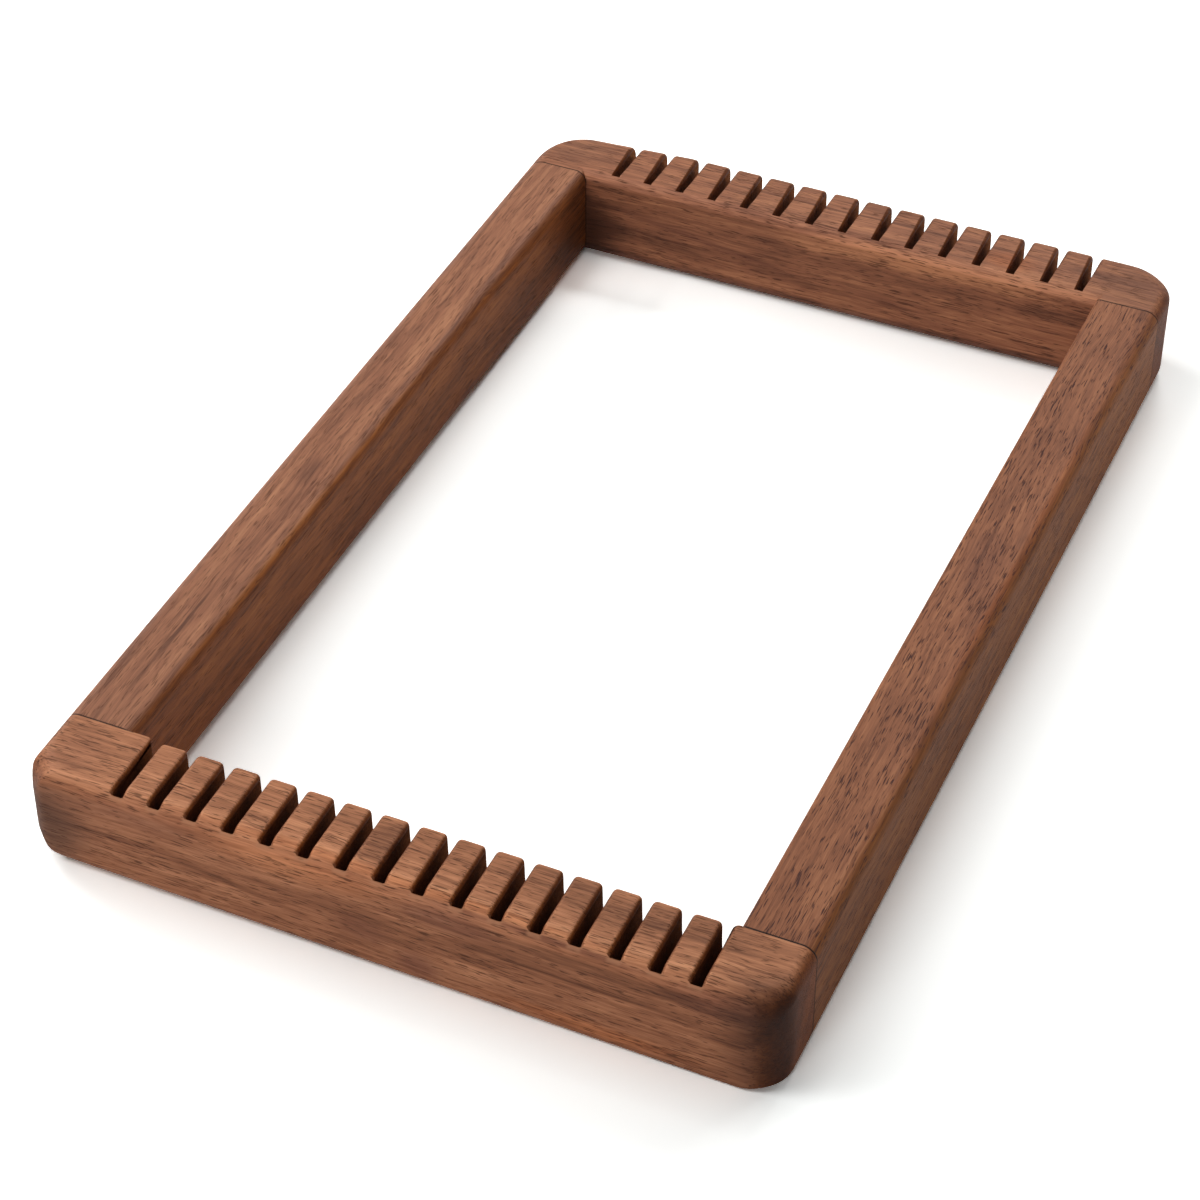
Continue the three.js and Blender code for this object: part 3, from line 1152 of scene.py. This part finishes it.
@dataclass
class EndRail(Rail):
    """A notched end rail, its full width, with the side rails butted to its inner face."""

    notches: NotchRow = NotchRow(1, 10.0, 0.0, 2.0)
    side_tops: tuple[float, float] = (3.5, 1.5)
    bottom_turn: float = 4.9
    outward: int = -1

    def build(self, blank: Workpiece, opening: float) -> None:
        """Saws, rounds, notches and drills the rail.

        Args:
            blank: The rounded blank.
            opening: Half the width between the side rails.
        """
        low, high = self.box
        inner = high.y if self.outward < 0 else low.y
        rail = blank.copy(self.node + "_blank")
        rail.saw((0, inner, 0), (0, -self.outward, 0))
        rail.cut(self.notches.cutter(low, high))
        rail.bevel(self._joint_edge(inner, high.z), self.joinery.arris, 2)
        rail.bevel(self._eased_edge(low, high), self.notches.ease, self.notches.ease_segments)
        if self.inner_top:
            rail.cut(self._cove(inner, high.z, 1, self.inner_top, opening, self.side_tops))
        rail.cut(self._cove(inner, low.z, -1, self.inner_bottom, opening, (self.bottom_turn,) * 2))
        self.joinery.drill(rail, self.box)
        self.dress(rail)

    def _joint_edge(self, inner: float, top: float) -> EdgeTest:
        """Tells the outline of the inner face, apart from the teeth and the notches in it.

        Args:
            inner: Where the inner face is, along Y.
            top: Where the top face is, along Z.

        Returns:
            The test.
        """
        row = self.notches

        def is_joint_edge(a: Vector, b: Vector) -> bool:
            """Tells whether both ends are on the inner face, and no notch meets it there.

            Args:
                a: One end of the edge.
                b: Its other end.

            Returns:
                Whether the edge is in the outline.
            """
            if max(abs(a.y - inner), abs(b.y - inner)) > TOUCH:
                return False
            notched = self.outward < 0 and min(a.z, b.z) > top - row.depth - TOUCH
            in_row = row.is_tooth_end(a, b) or row.on_walls(a, b) or row.is_floor(a, b, top)
            return not (notched and in_row)

        return is_joint_edge

    def _eased_edge(self, low: Vector, high: Vector) -> EdgeTest:
        """Tells the edges that are eased: the rims and, on the near rail, the teeth's ends.

        Args:
            low: The rail's lowest corner.
            high: The rail's highest corner.

        Returns:
            The test.
        """
        row = self.notches
        return lambda a, b: row.is_rim(a, b, low, high) or (
            self.outward < 0 and min(a.z, b.z) > high.z - TOUCH and row.is_tooth_end(a, b)
        )

    def _cove(
        self, inner: float, level: float, up: int, radius: float, opening: float, turns: tuple[float, float]
    ) -> Workpiece:
        """Makes the bar of waste outside one rounded inner edge, mitred to the side rails' rounds.

        Args:
            inner: Where the inner face is, along Y.
            level: Where the top or bottom face is, along Z.
            up: 1 for the top edge, -1 for the bottom one.
            radius: The radius of the round.
            opening: Half the length of the edge.
            turns: The radii of the side rails' rounds on the left and on the right.

        Returns:
            The bar.
        """
        centre = Vector((0, inner + self.outward * radius, level - up * radius))
        beyond = Vector((0, inner - self.outward * radius, level + up * radius))
        left, right = -opening - turns[0], opening + turns[1]
        low = (left, min(centre.y, beyond.y), min(centre.z, beyond.z))
        high = (right, max(centre.y, beyond.y), max(centre.z, beyond.z))
        bar = Workpiece.block("cove", low, high)
        along = Vector((right - left, 0, 0))
        bar.cut(Workpiece.rod("round", centre - along, centre + along, radius, 4 * self.round_segments))
        across = Vector((0, 4 * radius, 0))
        for x, side, turn in zip((left, right), (-1, 1), turns):
            middle = Vector((x, inner, level - up * turn))
            bar.cut(Workpiece.rod("turn", middle - across, middle + across, turn, 4 * self.round_segments))
            if turn < radius:
                ends = (middle - across, middle + across + Vector((-side * turn, 0, -up * radius)))
                bar.cut(Workpiece.block("under_turn", *self._corners_of(*ends, side * turn)))
        return bar

    @staticmethod
    def _corners_of(start: Vector, end: Vector, beyond: float) -> tuple[Vector, Vector]:
        """Gives the box on two corners, the first of which is moved along X.

        Args:
            start: The first corner.
            end: The second corner.
            beyond: How far the first corner is moved.

        Returns:
            The box's lowest and highest corners.
        """
        start = start + Vector((beyond, 0, 0))
        pairs = list(zip(start, end))
        return Vector([min(pair) for pair in pairs]), Vector([max(pair) for pair in pairs])


@dataclass
class SideRail(Rail):
    """A plain side rail between the end rails."""

    outward: int = 1

    def build(self, blank: Workpiece) -> None:
        """Saws, rounds and drills the rail.

        Args:
            blank: The rounded blank.
        """
        low, high = self.box
        inner = low.x if self.outward > 0 else high.x
        rail = blank.copy(self.node + "_blank")
        rail.saw((inner, 0, 0), (-self.outward, 0, 0))
        for end, waste in ((low.y, -1), (high.y, 1)):
            rail.saw((0, end, 0), (0, waste, 0))
        for level, radius in ((high.z, self.inner_top), (low.z, self.inner_bottom)):
            rail.bevel(self._inner_edge(inner, level), radius, self.round_segments)
        for end in (low.y, high.y):
            rail.bevel(self._end_edge(end), self.joinery.arris, 2)
        self.joinery.drill(rail, self.box)
        self.dress(rail)

    @staticmethod
    def _inner_edge(inner: float, level: float) -> EdgeTest:
        """Tells the long inner edge at one level."""
        return lambda a, b: all(abs(p.x - inner) < TOUCH and abs(p.z - level) < TOUCH for p in (a, b))

    @staticmethod
    def _end_edge(end: float) -> EdgeTest:
        """Tells the edges of the end that meets an end rail."""
        return lambda a, b: abs(a.y - end) < TOUCH and abs(b.y - end) < TOUCH


@dataclass(frozen=True)
class Softbox:
    """A flat square lamp."""

    name: str
    place: Point
    faces: Point
    side: float
    brightness: float
    mirrored: bool = True

    def hang(self) -> None:
        """Hangs the lamp where it belongs."""
        lamp = bpy.data.lights.new(self.name, "AREA")
        lamp.shape = "SQUARE"
        lamp.size = self.side * MILLIMETRE
        lamp.energy = self.brightness * math.pi * lamp.size ** 2
        box = bpy.data.objects.new(self.name, lamp)
        bpy.context.scene.collection.objects.link(box)
        box.visible_glossy = self.mirrored
        box.location = Vector(self.place) * MILLIMETRE
        box.rotation_euler = (-Vector(self.faces)).to_track_quat("Z", "Y").to_euler()


@dataclass(frozen=True)
class FloorLift:
    """An oval on the floor where the shadow is softer than the lamps make it."""

    middle: Point
    reach: Point
    lift: float


@dataclass(frozen=True)
class Studio:
    """Pale floor, soft light and the camera at the photograph's angle."""

    azimuth: float = 23.77
    elevation: float = 40.607
    roll: float = 0.173
    distance: float = 900.9
    target: Point = (-10.13, -12.19, 0.0)
    focal_pixels: float = 3302.8
    image_pixels: float = 1200.0
    sensor: float = 36.0
    floor_reach: float = 6000.0
    floor_seen: Point = (1.565, 1.60, 1.58)
    floor_lifts: tuple[FloorLift, ...] = (
        FloorLift((-81.0, 126.0, 0.0), (34.0, 25.0, 10.0), 0.9),
        FloorLift((-53.0, 126.0, 0.0), (14.0, 18.0, 10.0), 0.10),
        FloorLift((-81.0, 75.0, 0.0), (22.0, 70.0, 10.0), 0.15),
        FloorLift((125.0, -40.0, 0.0), (62.0, 300.0, 10.0), 0.10),
    )
    floor_fades: tuple[float, float] = (300.0, 600.0)
    floor_mirrored: float = 0.95
    floor_bounce: float = 0.80
    boxes: tuple[Softbox, ...] = (
        Softbox("left_box", (-900.0, 300.0, 600.0), (0.0, 0.0, -1.0), 420.0, 12.3),
        Softbox("near_left_box", (-300.0, 0.0, 600.0), (0.0, 0.0, -1.0), 300.0, 2.6),
        Softbox("middle_box", (0.0, 0.0, 600.0), (0.0, 0.0, -1.0), 300.0, 1.2),
        Softbox("front_left_box", (-1100.0, -550.0, 1100.0), (0.0, 0.0, -1.0), 550.0, 9.8),
        Softbox("front_box", (-550.0, -550.0, 1100.0), (0.0, 0.0, -1.0), 550.0, 2.6),
        Softbox("back_box", (0.0, 1100.0, 1100.0), (0.0, 0.0, -1.0), 550.0, 11.25),
        Softbox("back_right_panel", (600.0, 1040.0, 200.0), (-0.5, -0.87, 0.0), 400.0, 16.0, False),
        Softbox("front_panel", (0.0, -1200.0, 500.0), (0.0, 1.0, 0.0), 500.0, 4.85),
    )

    def set_up(self) -> None:
        """Makes the floor, the light and the camera."""
        self._camera()
        self._floor()
        self._world()
        for box in self.boxes:
            box.hang()
        bpy.context.scene.view_settings.view_transform = "Standard"

    def _camera(self) -> None:
        """Places the camera where the photograph was taken from."""
        azimuth, elevation = math.radians(self.azimuth), math.radians(self.elevation)
        back = Vector((
            math.sin(azimuth) * math.cos(elevation),
            -math.cos(azimuth) * math.cos(elevation),
            math.sin(elevation),
        ))
        lens = bpy.data.cameras.new("camera")
        lens.sensor_fit = "HORIZONTAL"
        lens.sensor_width = self.sensor
        lens.lens = self.focal_pixels / self.image_pixels * self.sensor
        lens.clip_start = 0.01
        lens.clip_end = 50.0
        lens.dof.use_dof = False
        camera = bpy.data.objects.new("camera", lens)
        bpy.context.scene.collection.objects.link(camera)
        turn = (-back).to_track_quat("-Z", "Y").to_matrix()
        turn = turn @ Matrix.Rotation(math.radians(self.roll), 3, "Z")
        camera.rotation_euler = turn.to_euler()
        camera.location = (Vector(self.target) + back * self.distance) * MILLIMETRE
        bpy.context.scene.camera = camera

    def _floor(self) -> None:
        """Lays a pale floor that is white to the camera and keeps the object's shadow."""
        Workpiece.deselect()
        bpy.ops.mesh.primitive_plane_add(size=2 * self.floor_reach * MILLIMETRE)
        floor = bpy.context.active_object
        floor.name = "floor"
        board = Board(bpy.data.materials.new("pale_floor"))
        place = board.vector("SCALE", board.add("ShaderNodeTexCoord", output="Object"))
        place.socket.node.inputs["Scale"].default_value = 1 / MILLIMETRE
        bounced = board.add("ShaderNodeLightPath", output="Is Diffuse Ray")
        mirrored = board.add("ShaderNodeLightPath", output="Is Glossy Ray")
        tone = board.mix(mirrored, self.floor_seen, (self.floor_mirrored,) * 3)
        tone = board.mix(bounced, tone, (self.floor_bounce,) * 3)
        # Painted light in the floor's shadow, in the ovals of the floor lifts.
        tone = self._lifted(board, place, tone, self.floor_lifts)
        lit = board.add("ShaderNodeBsdfDiffuse", {}, {"Color": tone})
        white = board.add("ShaderNodeEmission", {}, {"Color": (1.0, 1.0, 1.0, 1.0), "Strength": 1.0})
        far_off = board.vector("LENGTH", place, output="Value").step(*self.floor_fades)
        shader = board.add("ShaderNodeMixShader", {}, {0: far_off * (1 - bounced), 1: lit, 2: white})
        board.add("ShaderNodeOutputMaterial", {}, {"Surface": shader})
        floor.data.materials.append(board.owner)
        floor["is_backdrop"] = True

    @staticmethod
    def _lifted(board: Board, place: Wire, tone: Wire | Point, lifts: tuple[FloorLift, ...]) -> Wire | Point:
        """Paints light into the floor's shadow in soft ovals.

        Args:
            board: The floor's nodes.
            place: The place on the floor, in millimetres.
            tone: The floor's colour.
            lifts: The ovals.

        Returns:
            The colour with the ovals in it.
        """
        for spot in lifts:
            inside = board.add("ShaderNodeMapping", {"vector_type": "TEXTURE"}, {
                "Vector": place, "Location": spot.middle, "Scale": spot.reach,
            })
            share = board.vector("LENGTH", inside, output="Value").step(1.0, 0.0)
            tone = board.mix(share, tone, board.mix(1.0, tone, (1 + spot.lift,) * 3, "MULTIPLY"))
        return tone

    @staticmethod
    def _world() -> None:
        """Shows white to the camera and in reflections, and leaves the light to the soft boxes."""
        board = Board(bpy.data.worlds.new("studio"))
        bpy.context.scene.world = board.owner
        seen = board.add("ShaderNodeLightPath", output="Is Camera Ray")
        seen = seen.at_least(board.add("ShaderNodeLightPath", output="Is Transmission Ray"))
        seen = seen.at_least(board.add("ShaderNodeLightPath", output="Is Glossy Ray"))
        light = board.add("ShaderNodeBackground", {}, {"Strength": seen})
        board.add("ShaderNodeOutputWorld", {}, {"Surface": light})


NEAR_NOTCHES = NotchRow(count=16, pitch=10.15, shift=1.9, end_wall=1.5)
FAR_NOTCHES = NotchRow(count=15, pitch=10.5, shift=1.4, end_wall=2.2, ease=1.0)


class FrameLoom:
    """The whole loom."""

    near = EndRail(
        "near_notched_rail",
        Walnut(
            "near_rail_walnut",
            Grain.ALONG_X,
            1.0,
            kerfs=Kerfs(NEAR_NOTCHES, -157.4, 0.75, (0.50, 0.41, 0.23)),
            seam_share=0.95,
            top_painted_lighting=(1.40, 1.45, 1.40),
            other_faces_painted_lighting=(1.30, 1.28, 1.24),
            patches=(
                Patch(Tint.SMOKE, (-99, -161, 14), (25, 16, 22), 0.62),
                Patch(Tint.ASH, (-99, -158, 12), (20, 18, 18), 0.6),
                Patch(Tint.PALE, (-88, -157, 29.5), (14, 4, 3), 0.25),
                Patch(Tint.PURPLE, (-68, -159, 25), (24, 6, 5), 0.4),
                Patch(Tint.PALE, (-70, -159, 13), (22, 8, 6), 0.1),
                Patch(Tint.ORANGE, (-26, -159, 25), (36, 8, 5), 0.3),
                Patch(Tint.PALE, (-26, -159, 24), (36, 8, 6), 0.16),
                Patch(Tint.PURPLE, (16, -159, 24), (19, 8, 5), 0.75),
                Patch(Tint.DARK, (-45, -159, 13.5), (34, 10, 1.6), 0.2, tip=9.5),
                Patch(Tint.PURPLE, (-7.5, -159, 12), (11, 10, 6), 0.6),
                Patch(Tint.PURPLE, (7, -159, 6), (9, 10, 7), 0.85),
                Patch(Tint.PALE, (21, -159, 11), (9, 8, 4), 0.2),
                Patch(Tint.DARK, (58, -159, 24.5), (44, 8, 4), 0.2),
                Patch(Tint.PALE, (46, -159, 17), (44, 8, 3.5), 0.12),
                Patch(Tint.DARK, (60, -159, 11), (34, 8, 3), 0.14),
                Patch(Tint.DARK, (42, -159, 18.5), (42, 10, 1.0), 0.25),
                Patch(Tint.ORANGE, (52, -159, 5), (36, 8, 3.5), 0.5),
                Patch(Tint.SMOKE, (102, -158, 13), (24, 17, 27), 1.0),
                Patch(Tint.SMOKE, (98, -156, 25), (20, 15, 12), 0.75),
                Patch(Tint.PURPLE, (84, -158, 25), (20, 4, 5), 0.8),
                Patch(Tint.PURPLE, (40, -157.5, 27.5), (45, 1.2, 1.2), 0.7),
                Patch(Tint.PURPLE, (-90, -148, 30), (12, 12, 4), 0.3),
                Patch(Tint.ORANGE, (0, -156, 29.5), (85, 2.2, 3), 0.35),
                Patch(Tint.PALE, (30, -154, 30), (110, 5, 4), 0.08),
                Patch(Tint.DARK, (0, -145, 30), (110, 7, 4), 0.1),
                Patch(Tint.DARK, (-7, -149, 30), (9, 12, 4), 0.25),
                Patch(Tint.DARK, (60, -145, 30), (60, 9, 4), 0.14),
            ),
        ),
        "near_rail_walnut",
        inner_top=0.0,
        notches=NEAR_NOTCHES,
    )
    far = EndRail(
        "far_notched_rail",
        Walnut(
            "far_rail_walnut",
            Grain.ALONG_X,
            31.0,
            dark=(0.110, 0.0405, 0.0218),
            middle=(0.286, 0.108, 0.055),
            light=(0.525, 0.218, 0.104),
            kerfs=Kerfs(FAR_NOTCHES, 139.3, 0.0, (1.15, 1.20, 1.00)),
            top_painted_lighting=(0.93, 0.97, 1.00),
            front_painted_lighting=(1.24, 1.28, 1.38),
            under_painted_shade=(0.74, 0.72, 0.74),
            patches=(
                Patch(Tint.DARK, (0, 149.7, 30), (90, 0.7, 8), 0.3),
                Patch(Tint.ORANGE, (52, 145, 30), (13, 6, 3), 0.6),
                Patch(Tint.ASH, (-90, 150, 30), (18, 14, 6), 0.3),
                Patch(Tint.SMOKE, (92, 148, 30), (20, 16, 8), 0.35),
                Patch(Tint.DARK, (-85, 137, 10), (24, 8, 18), 0.5),
                Patch(Tint.SMOKE, (-84, 137, 8), (16, 8, 16), 0.5),
                Patch(Tint.PURPLE, (-45, 137, 16), (48, 8, 2.2), 0.6, tip=8.6),
                Patch(Tint.DARK, (-23, 137, 16), (14, 6, 4), 0.15),
                Patch(Tint.PURPLE, (28, 137, 8), (50, 6, 2), 0.35, tip=8.6),
                Patch(Tint.DARK, (0, 137, 9), (80, 6, 4), 0.08),
                Patch(Tint.DARK, (-60, 137, 11), (24, 6, 7), 0.18),
                Patch(Tint.PALE, (60, 138, 29), (34, 5, 3.5), 0.25),
                Patch(Tint.PALE, (20, 137, 27), (70, 4, 3), 0.1),
                Patch(Tint.DARK, (55, 137, 2), (45, 8, 4.5), 0.12),
                Patch(Tint.PALE, (24, 137, 24.5), (56, 5, 6), 0.36),
                Patch(Tint.DARK, (40, 137, 22.5), (22, 6, 0.8), 0.25),
            ),
        ),
        "far_rail_walnut",
        inner_top=3.5,
        notches=FAR_NOTCHES,
        outward=1,
    )
    left = SideRail(
        "left_side_rail",
        Walnut(
            "left_rail_walnut",
            Grain.ALONG_Y,
            57.0,
            dark=(0.120, 0.0480, 0.0270),
            middle=(0.290, 0.1185, 0.0612),
            light=(0.470, 0.2100, 0.1050),
            pore_share=0.5,
            top_painted_lighting=(0.87, 0.88, 0.93),
            other_faces_painted_lighting=(1.0, 0.95, 0.89),
            patches=(
                Patch(Tint.DARK, (-101, -90, 30), (27, 0.9, 4), 0.4),
                Patch(Tint.DARK, (-27, -90, 30), (10, 4, 4), 0.25),
                Patch(Tint.DARK, (-35, -87, 30), (42, 4, 4), 0.1),
                Patch(Tint.PALE, (43, -87, 30), (52, 4, 4), 0.12),
                Patch(Tint.PALE, (-67, -94, 30), (75, 4, 4), 0.1),
                Patch(Tint.DARK, (32, -93, 30), (35, 4, 4), 0.07),
                Patch(Tint.DARK, (132, -81, 15), (28, 8, 20), 0.3),
                # Painted light along the inner top round.
                Patch(Tint.PALE, (-50, -81.9, 29.1), (130, 1.7, 1.7), 0.4),
            ),
        ),
        "left_rail_walnut",
        inner_top=3.5,
        outward=-1,
    )
    right = SideRail(
        "right_side_rail",
        Walnut(
            "right_rail_walnut",
            Grain.ALONG_Y,
            83.0,
            middle=(0.298, 0.1140, 0.0555),
            light=(0.500, 0.2150, 0.1040),
            pore=(0.060, 0.026, 0.022),
            pore_share=0.95,
            seam_share=1.0,
            top_painted_lighting=(0.87, 0.86, 0.85),
            right_painted_shade=(0.68, 0.57, 0.285),
            patches=(
                Patch(Tint.PURPLE, (11, 89, 30), (24, 7, 4), 0.5),
                Patch(Tint.PALE, (-112, 94, 30), (36, 7, 4), 0.15),
                Patch(Tint.PURPLE, (0, 100, 6), (140, 4, 2.5), 0.4),
                # Painted shade along the outer top round, which turns away from the light.
                Patch(Tint.ORANGE, (15, 97.6, 29.6), (95, 2, 2), 0.4),
            ),
        ),
        "right_rail_walnut",
        inner_top=1.5,
        outward=1,
    )

    def build(self) -> None:
        """Builds the rails from one blank and finishes the dowels."""
        low, _ = self.near.box
        _, high = self.far.box
        blank = Blank(low, high).build()
        opening = self.right.box[0].x
        for rail in (self.near, self.far):
            rail.build(blank, opening)
        for rail in (self.left, self.right):
            rail.build(blank)
        blank.discard()
        self._finish_dowels()

    def _finish_dowels(self) -> None:
        """Gives the CAD dowels their beech."""
        beech = Beech().material()
        for name, dowel in frame["nodes"].items():
            if name.endswith("_dowel"):
                dowel.data.materials.clear()
                dowel.data.materials.append(beech)
                log.info("%s: kept from the frame, finish %s", name, beech.name)


def write_sizes() -> None:
    """Writes the CAD model's box and the visual model's box, and reports them."""
    boxes = {"cad": cad_box, "visual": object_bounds()}
    for name, (low, high) in boxes.items():
        log.info("%s box: %s to %s", name, tuple(low), tuple(high))


def main() -> None:
    """Builds the loom and the studio round it."""
    logging.basicConfig(level=logging.INFO, format="%(message)s")
    FrameLoom().build()
    Studio().set_up()
    write_sizes()


if __name__ == "__main__":
    main()
